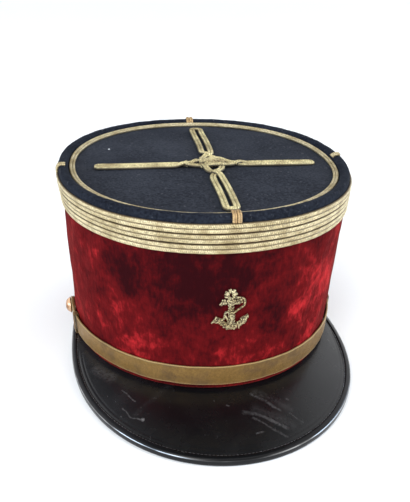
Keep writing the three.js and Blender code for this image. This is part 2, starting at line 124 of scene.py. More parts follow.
BAND_PITCH = math.asin(BAND_LIFT / (2 * BAND_HALF_LENGTH))
BAND_Y = PEAK_REACH / 2
BAND_Z = BAND_LIFT / 2 - BAND_PRESS
CROWN_Y = BAND_Y - CROWN_FORWARD
FRONT = -math.pi / 2
UP = Vector((0, 0, 1))


# The cap's two ovals and the surfaces between them.

def oval(angle, half_width, half_length, power):
    c, s = math.cos(angle), math.sin(angle)
    x = half_width * math.copysign(abs(c) ** (2 / power), c)
    y = half_length * math.copysign(abs(s) ** (2 / power), s)
    return x, y


def band_plane(y):
    return BAND_Z - (y - BAND_Y) * math.tan(BAND_PITCH)


def crown_plane(y):
    return CROWN_HEIGHT + (y - CROWN_Y) * CROWN_SLOPE


def band_edge(angle):
    x, y = oval(angle, BAND_HALF_WIDTH, BAND_HALF_LENGTH * math.cos(BAND_PITCH), 2)
    return Vector((x, BAND_Y + y, band_plane(BAND_Y + y)))


def crown_edge(angle):
    x, y = oval(angle, CROWN_HALF_WIDTH, CROWN_HALF_LENGTH, CROWN_POWER)
    return Vector((x, CROWN_Y + y, crown_plane(CROWN_Y + y)))


def outward(edge, angle, up):
    step = 0.01
    return (edge(angle + step) - edge(angle - step)).cross(up).normalized()


def on_wall(angle, level, out):
    """A point level mm up the slope from the band's lower edge, and out mm proud of it."""
    low = band_edge(angle)
    rise = crown_edge(angle) - low
    share = level / rise.length
    away = outward(lambda a: band_edge(a).lerp(crown_edge(a), share), angle, rise)
    return low + rise * share + away * out


def wall_slope(angle):
    return (crown_edge(angle) - band_edge(angle)).length


def overhang(angle):
    """How far the crown's rim stands out over the wall, most on the left of the photograph."""
    return 0.5 - 0.7 * math.cos(angle)


def on_crown_edge(angle, out, up):
    """A point out mm beyond the crown's edge in its plane, and up mm above it."""
    point = crown_edge(angle) + outward(crown_edge, angle, UP) * (out + overhang(angle))
    point.z = crown_plane(point.y) + up
    return point


def on_knot(x, y, up):
    """A point above the crown cloth, from a place beside the knot's centre."""
    c, s = math.cos(KNOT_TURN), math.sin(KNOT_TURN)
    world_y = KNOT_Y + x * s + y * c
    return Vector((KNOT_X + x * c - y * s, world_y, crown_plane(world_y) + TOP_RISE + up))


def ripple(x, y, seed):
    """A gentle hand-made unevenness between -1 and 1."""
    return (math.sin(x + seed) * math.cos(1.7 * y + 2 * seed) + math.sin(2.3 * x - 1.3 * y + 3 * seed)) / 2


def smooth(low, high, x):
    t = min(max((x - low) / (high - low), 0), 1)
    return t * t * (3 - 2 * t)


# Shader nodes.

class Graph:
    """Short calls that add nodes to a tree and return their output sockets."""

    def __init__(self, tree):
        self.tree = tree

    def node(self, kind, inputs=(), **settings):
        made = self.tree.nodes.new(kind)
        for name, value in settings.items():
            setattr(made, name, value)
        for key, value in dict(inputs).items():
            self.put(made.inputs[key], value)
        return made

    def put(self, socket, value):
        if isinstance(value, bpy.types.NodeSocket):
            self.tree.links.new(value, socket)
        else:
            socket.default_value = value

    def math(self, operation, a, b=0.0, c=0.0):
        return self.node("ShaderNodeMath", {0: a, 1: b, 2: c}, operation=operation).outputs[0]

    def plus(self, a, b):
        return self.math("ADD", a, b)

    def minus(self, a, b):
        return self.math("SUBTRACT", a, b)

    def times(self, a, b):
        return self.math("MULTIPLY", a, b)

    def vector(self, operation, a, b):
        return self.node("ShaderNodeVectorMath", {0: a, 1: b}, operation=operation).outputs[0]

    def distance(self, a, b):
        return self.node("ShaderNodeVectorMath", {0: a, 1: b}, operation="DISTANCE").outputs["Value"]

    def to_line(self, place, start, end):
        """The distance from a place to the straight line between two points."""
        run = Vector(end) - Vector(start)
        from_start = self.vector("SUBTRACT", place, start)
        dot = self.node("ShaderNodeVectorMath", {0: from_start, 1: tuple(run)}, operation="DOT_PRODUCT")
        share = self.node("ShaderNodeMath", {0: dot.outputs["Value"], 1: 1 / run.length_squared},
                          operation="MULTIPLY", use_clamp=True)
        nearest = self.vector("ADD", self.vector("MULTIPLY", tuple(run), share.outputs[0]), start)
        return self.distance(place, nearest)

    def mix(self, share, a, b):
        made = self.node("ShaderNodeMix", data_type="RGBA")
        self.put(made.inputs[0], share)
        self.put(made.inputs[6], a)
        self.put(made.inputs[7], b)
        return made.outputs[2]

    def between(self, value, low, high, to_low=0.0, to_high=1.0):
        """Maps a value from one range to another with a smooth step."""
        return self.node("ShaderNodeMapRange", {0: value, 1: low, 2: high, 3: to_low, 4: to_high},
                         interpolation_type="SMOOTHSTEP").outputs[0]

    def noise(self, place, scale, detail=3.0, roughness=0.6):
        return self.node("ShaderNodeTexNoise", {"Vector": place, "Scale": scale, "Detail": detail,
                                                "Roughness": roughness}).outputs["Fac"]

    def cells(self, place, scale):
        """The distance to the nearest of many scattered points."""
        return self.node("ShaderNodeTexVoronoi", {"Vector": place, "Scale": scale}).outputs["Distance"]

    def drifted(self, base, place, scale, reach):
        """A base place pushed about by slow noise, by up to half of reach each way."""
        drift = self.node("ShaderNodeTexNoise", {"Vector": place, "Scale": scale, "Detail": 2.0})
        push = self.vector("SUBTRACT", drift.outputs["Color"], (0.5, 0.5, 0.5))
        return self.vector("ADD", base, self.vector("MULTIPLY", push, reach))

    def place(self, output="Object"):
        return self.node("ShaderNodeTexCoord").outputs[output]

    def xyz(self, vector):
        return self.node("ShaderNodeSeparateXYZ", {0: vector}).outputs


COLOUR, NUMBER = "NodeSocketColor", "NodeSocketFloat"


def effect(name, inputs, outputs, build):
    """A node group whose build function takes its graph and input sockets and returns its outputs."""
    tree = bpy.data.node_groups.new(name, "ShaderNodeTree")
    for label, value in inputs.items():
        kind = COLOUR if isinstance(value, tuple) else NUMBER
        tree.interface.new_socket(label, in_out="INPUT", socket_type=kind).default_value = value
    for label, kind in outputs.items():
        tree.interface.new_socket(label, in_out="OUTPUT", socket_type=kind)
    graph = Graph(tree)
    entry = tree.nodes.new("NodeGroupInput")
    leave = tree.nodes.new("NodeGroupOutput")
    for label, socket in build(graph, entry.outputs).items():
        graph.put(leave.inputs[label], socket)
    return tree


SURFACE = {"Color": COLOUR, "Roughness": NUMBER, "Height": NUMBER}


def new_material(name):
    """A material and its Principled shader."""
    made = bpy.data.materials.new(name)
    made.use_nodes = True
    return made, next(n for n in made.node_tree.nodes if n.type == "BSDF_PRINCIPLED")


def material(name, group, values, bump, **constants):
    """A Principled material fed by an effect's colour, roughness, height and, if it has one, coat."""
    made, shader = new_material(name)
    graph = Graph(made.node_tree)
    for label, value in constants.items():
        shader.inputs[label.replace("_", " ")].default_value = value
    look = graph.node("ShaderNodeGroup", node_tree=group)
    if "Coat" in look.outputs:
        graph.put(shader.inputs["Coat Weight"], look.outputs["Coat"])
    for label, value in values.items():
        look.inputs[label].default_value = value
    graph.put(shader.inputs["Base Color"], look.outputs["Color"])
    graph.put(shader.inputs["Roughness"], look.outputs["Roughness"])
    raised = graph.node("ShaderNodeBump", {"Height": look.outputs["Height"], "Distance": bump * MM})
    graph.put(shader.inputs["Normal"], raised.outputs["Normal"])
    return made


def rgb(r, g, b):
    return (r, g, b, 1.0)


# Patches on the velvet, partly worn or crushed pile and partly painted light: above 0 worn pile and
# painted highlight, below 0 crushed pile and painted shade. Each has a place on the wall or in front of it
# in mm, how far the patch reaches in mm, and its strength.
PILE_AND_LIGHT_PATCHES = [
    ((46, -86, 50), 24, 0.36), ((57, -78, 62), 18, 0.26),
    ((-75, -50, 60), 16, 0.12), ((76, -50, 68), 20, 0.32),
    ((51, -56, 29), 12, 0.16), ((-4, -103, 86), 34, -0.3),
    ((24, -99, 74), 24, -0.22), ((-26, -98, 60), 24, -0.36),
    ((24, -97, 33), 22, -0.3), ((-46, -88, 84), 34, -0.42),
    ((-66, -66, 76), 20, -0.34), ((36, -93, 90), 24, -0.34),
    ((21, -74, 56), 14, -0.2), ((28, -72, 65), 11, -0.14),
    ((5, -77, 49), 9, -0.12), ((-52, -57, 49), 10, -0.12),
    ((-41, -65, 50), 9, -0.07), ((-65, -44, 59), 11, -0.12),
    ((5, -79, 95), 14, -0.1),
]
# The shares of a patch's reach where it starts to fade and where it ends.
PATCH_CORE = 0.2
PATCH_END = 1.3
PILE_DRIFT = (0.009, 0.009, 0.009)


def velvet_look(g, given):
    """Pile in blotches, mottling and short upright grain, with the patches of worn or crushed pile,
    painted highlight and painted shade laid over them.
    """
    place = g.place()
    bent = g.drifted(place, place, 45.0, PILE_DRIFT)
    blotch = g.noise(bent, scale=30.0, detail=4.0, roughness=0.55)
    mottle = g.noise(bent, scale=130.0, detail=4.0)
    upright = g.vector("MULTIPLY", place, (1, 1, 0.4))
    grain = g.noise(upright, scale=560.0, roughness=0.65)
    tone = 0.47
    for wave, share in ((blotch, 0.85), (mottle, 0.6), (grain, 0.4)):
        tone = g.plus(tone, g.times(g.minus(wave, 0.5), share))
    for spot, reach, strength in PILE_AND_LIGHT_PATCHES:
        far = g.distance(bent, tuple(MM * v for v in spot))
        patch = g.between(far, reach * PATCH_CORE * MM, reach * PATCH_END * MM, strength, 0.0)
        tone = g.plus(tone, patch)
    dark = g.mix(g.between(tone, 0.16, 0.58), given["Crushed_And_Shade"], given["Pile"])
    return {
        "Color": g.mix(g.between(tone, 0.5, 0.88), dark, given["Worn_And_Highlight"]),
        "Roughness": g.between(tone, 0.3, 0.8, 0.9, 0.7),
        "Height": g.plus(grain, mottle),
    }


# The darkest colour is crushed pile and painted shade; the brightest is worn pile and painted highlight.
VELVET = effect("velvet_pile", {
    "Pile": rgb(0.09, 0.004, 0.005),
    "Crushed_And_Shade": rgb(0.019, 0.002, 0.003),
    "Worn_And_Highlight": rgb(0.44, 0.018, 0.021),
}, SURFACE, velvet_look)

# A tuft of white lint on the crown: its place, and how far its core and its edge reach, in mm.
WHITE_TUFT = (-56.6, 44.7, 118.0)
TUFT_CORE = 0.4
TUFT_END = 0.9


def wool_look(g, given):
    """Felted cloth with paler fibres, specks of lint and the white tuft."""
    place = g.place()
    felt = g.noise(place, scale=700.0, roughness=0.7)
    cloud = g.noise(place, scale=35.0)
    stretched = g.vector("MULTIPLY", place, (1.0, 0.6, 1.0))
    lint = g.noise(stretched, scale=600.0, detail=2.0, roughness=0.5)
    fleck = g.between(g.cells(place, 160.0), 0.0, 0.09, 1.0, 0.0)
    tone = g.plus(g.times(felt, 0.7), g.times(cloud, 0.3))
    colour = g.mix(g.between(tone, 0.35, 0.68), given["Cloth"], given["Fibre"])
    colour = g.mix(g.times(g.between(lint, 0.64, 0.78), 0.2), colour, given["Lint"])
    colour = g.mix(g.times(fleck, 0.22), colour, given["Lint"])
    far = g.distance(place, tuple(MM * v for v in WHITE_TUFT))
    tuft = g.between(far, TUFT_CORE * MM, TUFT_END * MM, 1.0, 0.0)
    return {
        "Color": g.mix(tuft, colour, rgb(0.8, 0.8, 0.8)),
        "Roughness": g.between(felt, 0.3, 0.7, 0.82, 0.98),
        "Height": g.plus(felt, g.times(lint, 0.4)),
    }


WOOL = effect("wool_cloth", {
    "Cloth": rgb(0.0065, 0.0078, 0.0115),
    "Fibre": rgb(0.029, 0.032, 0.041),
    "Lint": rgb(0.2, 0.2, 0.22),
}, SURFACE, wool_look)


def braid_look(g, given):
    """Ribs side by side, each of slanting threads, with painted shade in their valleys, grooves, borders
    and small pits. UV: u in mm along, v a share across.
    """
    along, width, _ = g.xyz(g.place("UV"))
    lane = g.times(width, given["Ribs"])
    across = g.math("FRACT", lane)
    odd = g.math("MODULO", g.math("FLOOR", lane), 2.0)
    side = g.minus(g.times(odd, 2.0), 1.0)
    slant = g.times(g.times(side, across), given["Slant"])
    thread = g.math("FRACT", g.plus(g.math("DIVIDE", along, given["Pitch"]), slant))
    bulge = g.math("SINE", g.times(thread, math.pi))
    rib = g.between(g.math("SINE", g.times(across, math.pi)), 0.0, given["Edge"])
    place = g.place()
    tarnish = g.noise(place, scale=90.0)
    speck = g.noise(place, scale=900.0, detail=2.0)
    lit = g.mix(g.between(tarnish, 0.35, 0.7), given["Gold"], given["Tarnish"])
    # Painted shade: each thread darkens towards the valleys between the threads.
    tone = g.plus(g.times(bulge, 0.6), g.times(speck, 0.5))
    colour = g.mix(g.between(tone, 0.15, 0.75), given["Gap"], lit)
    # Painted shade in the grooves between the ribs.
    groove_shade = g.times(g.minus(1.0, rib), given["Groove"])
    colour = g.mix(groove_shade, colour, given["Gap"])
    # Painted shade along both edges of the braid.
    border_shade = g.between(g.math("ABSOLUTE", g.minus(width, 0.5)), 0.41, 0.48)
    colour = g.mix(g.times(border_shade, given["Border"]), colour, given["Gap"])
    # Painted shade in small pits among the threads, which the bump also presses in.
    fleck = g.between(g.noise(place, scale=1200.0, detail=1.0, roughness=0.5), 0.46, 0.6)
    fleck = g.times(fleck, given["Sparkle"])
    height = g.plus(g.times(bulge, 0.7), g.times(speck, 0.3))
    return {
        "Color": g.mix(fleck, colour, given["Gap"]),
        "Roughness": g.between(speck, 0.3, 0.7, 0.38, 0.6),
        "Height": g.minus(height, fleck),
    }


BRAID = effect("braid_threads", {
    "Gold": rgb(0.8, 0.67, 0.39),
    "Tarnish": rgb(0.42, 0.325, 0.15),
    # The colour of the painted shade in the braid's valleys, grooves, borders and pits.
    "Gap": rgb(0.075, 0.046, 0.018),
    "Pitch": 1.0,
    "Ribs": 2.0,
    "Slant": 1.0,
    "Edge": 0.72,
    "Groove": 0.9,
    "Border": 0.35,
    "Sparkle": 0.42,
}, SURFACE, braid_look)

# The lace's weave: the pitch of its weft in mm, and how steeply its chevrons lean.
WEFT_PITCH = 0.55
CHEVRON_LEAN = 16.0


def lace_look(g, given):
    """A flat woven band: a field of small chevrons between two corded edges, with stains and painted shade
    in a groove inside each cord.
    """
    along, across, _ = g.xyz(g.place("UV"))
    edge = g.math("ABSOLUTE", g.minus(across, 0.5))
    chevron = g.plus(g.math("DIVIDE", along, given["Pitch"]), g.times(edge, CHEVRON_LEAN))
    wave = g.math("SINE", g.times(chevron, math.tau))
    weft = g.math("SINE", g.times(g.math("DIVIDE", along, WEFT_PITCH), math.tau))
    place = g.place()
    blotch = g.noise(place, scale=70.0, detail=4.0, roughness=0.65)
    speck = g.noise(place, scale=800.0, detail=2.0)
    cord = g.between(edge, 0.44, 0.46)
    # Painted shade: a narrow groove just inside each cord is darkened towards the stain colour.
    cord_groove_shade = g.times(g.between(edge, 0.41, 0.425), g.between(edge, 0.435, 0.45, 1.0, 0.0))
    field = g.plus(g.times(wave, 0.22), g.times(speck, 0.9))
    colour = g.mix(g.between(field, 0.2, 0.75), given["Tarnish"], given["Gold"])
    colour = g.mix(g.times(g.between(blotch, 0.47, 0.68), 0.8), colour, given["Stain_And_Shade"])
    colour = g.mix(g.times(cord, 0.4), colour, given["Edge"])
    threads = g.plus(g.times(weft, 0.15), g.times(speck, 0.4))
    height = g.plus(g.times(wave, 0.3), threads)
    height = g.plus(height, g.times(cord, 0.8))
    return {
        "Color": g.mix(g.times(cord_groove_shade, 0.3), colour, given["Stain_And_Shade"]),
        "Roughness": g.between(blotch, 0.3, 0.7, 0.36, 0.6),
        "Height": g.minus(height, cord_groove_shade),
    }


LACE = effect("lace_weave", {
    "Gold": rgb(0.262, 0.143, 0.035),
    "Tarnish": rgb(0.14, 0.074, 0.017),
    "Edge": rgb(0.46, 0.33, 0.15),
    "Stain_And_Shade": rgb(0.1, 0.055, 0.02),
    "Pitch": 1.6,
}, SURFACE, lace_look)


def metal_look(g, given):
    """Brass worn bright, with dull places and fine scratches."""
    place = g.place()
    worn = g.noise(place, scale=260.0, detail=4.0)
    stretched = g.vector("MULTIPLY", place, (1.0, 0.2, 1.0))
    return {
        "Color": g.mix(g.between(worn, 0.4, 0.65), given["Bright"], given["Dull"]),
        "Roughness": g.between(worn, 0.35, 0.7, 0.22, 0.5),
        "Height": g.noise(stretched, scale=900.0, detail=2.0, roughness=0.5),
    }


METAL = effect("worn_metal", {
    "Bright": rgb(0.7, 0.45, 0.28),
    "Dull": rgb(0.36, 0.19, 0.1),
}, SURFACE, metal_look)

# Scratches on the peak: their ends in mm, their half width in mm and how bright they are.
SCRATCHES = [
    ((-58.4, -65.4), (-52.1, -75.0), 0.23, 0.28), ((-58.5, -78.3), (-55.6, -85.3), 0.23, 0.22),
    ((-55.6, -85.3), (-50, -89), 0.23, 0.28), ((-49.4, -89), (-49.0, -89.2), 0.5, 0.72),
    ((11.8, -81.9), (19.1, -87.3), 0.55, 0.15), ((19.1, -87.3), (25.6, -94.6), 0.45, 0.17),
    ((15, -81), (31, -93), 1.4, 0.06), ((4.8, -93.4), (13.7, -96.8), 0.75, 0.15),
    ((13.7, -96.8), (26.4, -105.9), 0.55, 0.2), ((12, -92), (29, -104), 1.7, 0.055),
    ((9.2, -98.1), (17.1, -104.5), 0.4, 0.13), ((17.1, -104.5), (25, -110.3), 0.4, 0.13),
    ((9.1, -107.9), (12.4, -107.6), 0.34, 0.22), ((-2.9, -88.4), (-2.1, -88.8), 0.34, 0.3),
    ((31.8, -87), (32.4, -87.4), 0.34, 0.3), ((-68.6, -47), (-63.8, -53.5), 2.07, 0.12),
    ((-72.4, -43), (-70, -46), 1.84, 0.12), ((-64, -40), (-56, -48), 0.6, 0.1),
    ((-31.5, -113), (-30.7, -113.4), 0.34, 0.43), ((-30, -66), (-52, -84), 1.15, 0.03),
    ((30, -96), (36, -103), 0.34, 0.1),
]
# The shares of a scratch's half width where it starts to fade and where it ends.
SCRATCH_CORE = 0.2
SCRATCH_END = 2.6
SCRATCH_DRIFT = (0.004, 0.004, 0.0)
# The share across the binding's UV map where its polished line runs.
POLISH_V = 0.335


def scratch_marks(g, place):
    """How bright the scratches are, drawn in plan and broken up along their way."""
    x, y, _ = g.xyz(place)
    plan = g.node("ShaderNodeCombineXYZ", {0: x, 1: y}).outputs[0]
    bent = g.drifted(plan, place, 90.0, SCRATCH_DRIFT)
    worn = 0.0
    for start, end, half, strength in SCRATCHES:
        far = g.to_line(bent, (start[0] * MM, start[1] * MM, 0), (end[0] * MM, end[1] * MM, 0))
        mark = g.between(far, half * SCRATCH_CORE * MM, half * SCRATCH_END * MM, strength, 0.0)
        worn = g.math("MAXIMUM", worn, mark)
    broken = g.between(g.noise(place, scale=700.0, roughness=0.65), 0.38, 0.62, 0.25, 1.0)
    return g.times(worn, broken)


def polished_line(g, place):
    """A line of polish along the binding, uneven, and fainter at the front."""
    beside = g.math("ABSOLUTE", g.minus(g.xyz(g.place("UV"))[1], POLISH_V))
    line = g.between(beside, 0.015, 0.036, 1.0, 0.0)
    from_middle = g.math("ABSOLUTE", g.xyz(place)[0])
    line = g.times(line, g.between(from_middle, 0.004, 0.034, 0.12, 1.0))
    uneven = g.noise(place, scale=60.0, detail=2.0, roughness=0.5)
    return g.times(line, g.between(uneven, 0.35, 0.55, 0.3, 1.0))


def leather_look(g, given):
    """Polished leather with fine grain, a painted reflection that lightens the sides, scuffs and
    scratches.
    """
    place = g.place()
    grain = g.cells(place, 1500.0)
    cloud = g.noise(place, scale=60.0)
    stretched = g.vector("MULTIPLY", place, (1.0, 0.25, 1.0))
    fine = g.noise(stretched, scale=700.0)
    scuffs = g.times(g.between(fine, 0.68, 0.76), 0.16)
    worn = g.math("MINIMUM", g.plus(scratch_marks(g, place), scuffs), 1.0)
    worn = g.times(worn, given["Wear"])
    # Painted reflection: the leather turns lighter towards both sides, in clouds.
    sides = g.between(g.math("ABSOLUTE", g.xyz(place)[0]), 0.03, 0.075)
    side_reflection = g.times(sides, g.between(cloud, 0.2, 0.7, 0.5, 1.0))
    colour = g.mix(side_reflection, given["Leather"], given["Side_Reflection"])
    rough = g.plus(given["Roughness"], g.between(cloud, 0.3, 0.7, 0.0, 0.1))
    height = g.plus(g.times(grain, 0.35), g.times(worn, -0.6))
    return {
        "Color": g.mix(worn, colour, given["Scuff"]),
        "Roughness": g.plus(rough, g.times(worn, 0.35)),
        "Height": g.plus(height, g.times(cloud, 1.4)),
        "Coat": g.times(polished_line(g, place), given["Lacquer"]),
    }


LEATHER = effect("leather_wear", {
    "Leather": rgb(0.003, 0.003, 0.0035),
    "Side_Reflection": rgb(0.011, 0.011, 0.0125),
    "Scuff": rgb(0.2, 0.19, 0.19),
    "Wear": 1.0,
    "Roughness": 0.2,
    "Lacquer": 0.0,
}, {**SURFACE, "Coat": NUMBER}, leather_look)

WOOL_SHEEN = {"Sheen_Roughness": 0.5, "Sheen_Tint": rgb(0.8, 0.85, 1.0)}
BRAID_SHINE = {"Metallic": 0.3, "Specular_IOR_Level": 0.5}
WIRE_SHINE = {"Metallic": 0.4, "Specular_IOR_Level": 0.5}

velvet = material("crimson_velvet", VELVET, {}, 0.3, Specular_IOR_Level=0.02,
                  Sheen_Weight=0.16, Sheen_Roughness=0.3, Sheen_Tint=rgb(1.0, 0.1, 0.08))
wool = material("navy_wool", WOOL, {}, 0.2, Specular_IOR_Level=0.04, Sheen_Weight=0.025, **WOOL_SHEEN)
# The rim's wool is the top's wool made darker, as painted shade.
shaded_rim_wool = material("shaded_rim_wool", WOOL, {
    "Cloth": rgb(0.004, 0.005, 0.008),
    "Fibre": rgb(0.017, 0.02, 0.028),
}, 0.2, Specular_IOR_Level=0.03, Sheen_Weight=0.02, **WOOL_SHEEN)
lining = material("dark_lining", WOOL, {
    "Cloth": rgb(0.02, 0.017, 0.015),
    "Fibre": rgb(0.05, 0.043, 0.038),
}, 0.15, Specular_IOR_Level=0.2)
braid = material("gold_braid", BRAID, {}, 0.26, **BRAID_SHINE)
ring_gold = material("ring_gold_braid", BRAID, {
    "Gold": rgb(0.72, 0.61, 0.37),
    "Gap": rgb(0.05, 0.035, 0.018),
    "Edge": 0.6,
    "Groove": 0.55,
    "Border": 0.5,
}, 0.2, **BRAID_SHINE)
cross_braid = material("cross_braid", BRAID, {
    "Gold": rgb(0.92, 0.8, 0.42),
    "Gap": rgb(0.03, 0.02, 0.01),
    "Edge": 0.6,
    "Groove": 0.5,
    "Border": 0.9,
}, 0.2, **BRAID_SHINE)
bullion = material("gold_bullion", BRAID, {
    "Gold": rgb(1.0, 0.86, 0.5),
    "Tarnish": rgb(0.42, 0.29, 0.1),
    "Gap": rgb(0.04, 0.018, 0.008),
    "Pitch": 0.5,
    "Ribs": 1.0,
    "Slant": 0.0,
    "Edge": 0.9,
    "Sparkle": 0.88,
}, 0.3, **WIRE_SHINE)
tab_braid = material("orange_gold_braid", BRAID, {
    "Gold": rgb(0.64, 0.42, 0.19),
    "Tarnish": rgb(0.45, 0.28, 0.12),
}, 0.14, **BRAID_SHINE)
lace = material("gold_lace", LACE, {}, 0.12, **WIRE_SHINE)
brass = material("worn_brass", METAL, {}, 0.02, Metallic=1.0)
leather = material("black_leather", LEATHER, {}, 0.05, Specular_IOR_Level=0.32)
binding_leather = material("binding_leather", LEATHER, {
    "Wear": 0.2,
    "Roughness": 0.07,
    "Lacquer": 1.0,
}, 0.03, Specular_IOR_Level=0.2, Coat_IOR=3.0, Coat_Roughness=0.08)
thread = material("black_thread", WOOL, {
    "Cloth": rgb(0.02, 0.02, 0.022),
    "Fibre": rgb(0.14, 0.14, 0.15),
}, 0.05)


# Pieces.

def piece(name, bm, looks, nodes):
    """Turns a form in millimetres into an object in metres that rides on the cap."""
    bmesh.ops.recalc_face_normals(bm, faces=bm.faces)
    bmesh.ops.scale(bm, vec=(MM, MM, MM), verts=bm.verts)
    mesh = bpy.data.meshes.new(name)
    bm.to_mesh(mesh)
    bm.free()
    mesh.shade_smooth()
    for look in looks:
        mesh.materials.append(look)
    made = add_object(name, mesh)
    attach(made, "root")
    if nodes:
        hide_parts(*nodes)
    return made


# Corners of a form that lie closer than this, in mm, are joined.
WELD = 0.0005


def grid(across, along, place, uv=lambda s, t: (s, t)):
    """A grid bent by place(s, t), with s and t from 0 to 1, and its meeting edges joined."""
    bm = bmesh.new()
    bmesh.ops.create_grid(bm, x_segments=across, y_segments=along, size=0.5)
    layer = bm.loops.layers.uv.new("UVMap")
    for face in bm.faces:
        for corner in face.loops:
            corner[layer].uv = uv(corner.vert.co.x + 0.5, corner.vert.co.y + 0.5)
    for vert in bm.verts:
        vert.co = place(vert.co.x + 0.5, vert.co.y + 0.5)
    bmesh.ops.remove_doubles(bm, verts=bm.verts, dist=WELD)
    return bm


def merge(forms):
    """Puts several forms into one."""
    whole = bmesh.new()
    for form in forms:
        mesh = bpy.data.meshes.new("form")
        form.to_mesh(mesh)
        form.free()
        whole.from_mesh(mesh)
        bpy.data.meshes.remove(mesh)
    return whole


def along_rows(rows, t):
    """A point on the line through rows, at a share of its steps."""
    at = t * (len(rows) - 1)
    i = min(int(at), len(rows) - 2)
    return [a + (b - a) * (at - i) for a, b in zip(rows[i], rows[i + 1])]


def rib_rows(width, height, base, steps=9):
    """The closed section of two rounded ribs: [across from 0 to 1, up, share across for the UV]."""
    rows = []
    for rib in (0, 1):
        for i in range(steps + (rib == 1)):
            x = 2 * i / steps - 1
            share = (rib + i / steps) / 2
            arch = math.sqrt(max(1 - x * x, 0)) ** 0.9
            rows.append([share * width, base + (height - base) * arch, share])
    return rows + [[width, 0, 1], [0, 0, 0], [0, base, 0]]


def ring(rows, place, steps, girth):
    """A closed band round the cap from rows of [across, up, v]."""
    def spot(s, t):
        across, up, _ = along_rows(rows, t)
        return place(math.tau * s, across, up)
    return grid(steps, len(rows) - 1, spot, lambda s, t: (girth * s, along_rows(rows, t)[2]))


def closed(bm, sides=0):
    """Fills the open ends of a form."""
    bmesh.ops.holes_fill(bm, edges=[e for e in bm.edges if e.is_boundary], sides=sides)
    return bm


def along_curve(points, s):
    """A point on the smooth curve through points, at a share of its steps."""
    at = s * (len(points) - 1)
    i = min(int(at), len(points) - 2)
    f = at - i
    a, b, c, d = (points[min(max(i + k, 0), len(points) - 1)] for k in (-1, 0, 1, 2))
    bend = 2 * a - 5 * b + 4 * c - d
    return 0.5 * (2 * b + (c - a) * f + bend * f * f + (3 * b - a - 3 * c + d) * f ** 3)


def curve_lengths(points, steps):
    """The length of the smooth curve up to each of its steps."""
    lengths = [0.0]
    for i in range(steps):
        run = along_curve(points, (i + 1) / steps) - along_curve(points, i / steps)
        lengths.append(lengths[-1] + run.length)
    return lengths


def curve_run(points, s, reach):
    """The way the smooth curve runs at a share of its steps."""
    return along_curve(points, min(s + reach, 1)) - along_curve(points, max(s - reach, 0))


def tube(points, radius, steps, sides=10, flat=1.0, normal=UP, twist=0.0, lobes=0, lobe=0.0):
    """A strand along a smooth line of points. It may be flattened and ridged like twisted wire."""
    lengths = curve_lengths(points, steps)
    frames = []
    for i in range(steps + 1):
        along = curve_run(points, i / steps, 0.002).normalized()
        side = along.cross(normal).normalized()
        frames.append((along_curve(points, i / steps), side, side.cross(along).normalized()))

    def spot(s, t):
        i = round(s * steps)
        middle, side, away = frames[i]
        turn = math.tau * t
        size = radius * (1 + lobe * math.cos(lobes * turn + twist * lengths[i]))
        return middle + side * (size * math.cos(turn)) + away * (size * flat * math.sin(turn))

    def unrolled(s, t):
        return lengths[round(s * steps)], 0.5 + 0.45 * math.cos(math.tau * t)

    return closed(grid(steps, sides, spot, unrolled), sides + 1)


# Velvet wall: outside, turned under at the lower edge, and a plain lining inside.

WALL_LEVELS = 44
LINING_LEVELS = 12
WALL_STEPS = 220


def velvet_wall():
    rows = [[i / WALL_LEVELS, 0.0] for i in range(WALL_LEVELS + 1)]
    rows += [[1 - i / LINING_LEVELS, -WALL] for i in range(LINING_LEVELS + 1)] + [[0, 0]]

    def spot(s, t):
        share, out = along_rows(rows, t)
        angle = math.tau * s
        top = wall_slope(angle) + TOP_RISE - TOP_THICKNESS - GAP
        if out == 0:
            fade = smooth(0, 0.12, share) * smooth(1, 0.86, share)
            out = 0.35 * fade * ripple(9 * angle, 7 * share, 1.3)
            out += 0.22 * fade * ripple(23 * angle, 15 * share, 4.1)
        point = on_wall(angle, share * top, out)
        point.z = max(point.z, 0)
        return point
    return grid(WALL_STEPS, len(rows) - 1, spot)


def set_lining(made, inside):
    """Gives the faces that look inwards the second look of a piece."""
    for face in made.data.polygons:
        face.material_index = 1 if inside(face.normal, face.center) else 0


wall = piece("velvet_wall", velvet_wall(), [velvet, lining], ["crown_wall"])
set_lining(wall, lambda n, c: n.x * c.x + n.y * (c.y - BAND_Y * MM) < 0)


# Crown: a flat top with a rolled rim.

TOP_RINGS = 40
# The share of the rings on the upper face, and how far inside the crown's edge the cloth ends, in mm.
TOP_UPPER = 0.75
TOP_INSET = 1.8


def wool_top():
    def spot(s, t):
        angle = math.tau * s
        upper = t < TOP_UPPER
        reach = t / TOP_UPPER if upper else 1 - (t - TOP_UPPER) / (1 - TOP_UPPER)
        edge = on_crown_edge(angle, -TOP_INSET, 0)
        point = edge.lerp(Vector((0, CROWN_Y, 0)), 1 - reach)
        if upper:
            sag = 0.35 * ripple(0.05 * point.x, 0.05 * point.y, 2.1)
            sag += 0.1 * ripple(0.2 * point.x, 0.17 * point.y, 5.3)
            point.z = crown_plane(point.y) + TOP_RISE + (sag - 0.2) * smooth(1, 0.9, reach)
        else:
            point.z = crown_plane(point.y) + TOP_RISE - TOP_THICKNESS
        return point
    return grid(160, TOP_RINGS, spot)


top = piece("wool_top", wool_top(), [wool, lining], ["crown_top"])
set_lining(top, lambda n, c: n.z < -0.5)

# The section of the rim's roll: rows of [inward, up] in mm, over the top and back along the inside.
RIM_ROLL = [
    [0, -1.5], [0, 0.4], [0.02, 1.6], [0.12, 2.6], [0.57, 3.55], [1.2, 4.05], [2.05, 4.2], [2.95, 4.15],
    [3.95, 3.9], [4.8, 3.45], [5.4, 2.8], [5.9, 1.9], [6.0, 0.9], [5.9, 0.75], [1.3, 0.75], [1.3, -1.5],
    [0, -1.5],
]
RIM_STEPS = 64


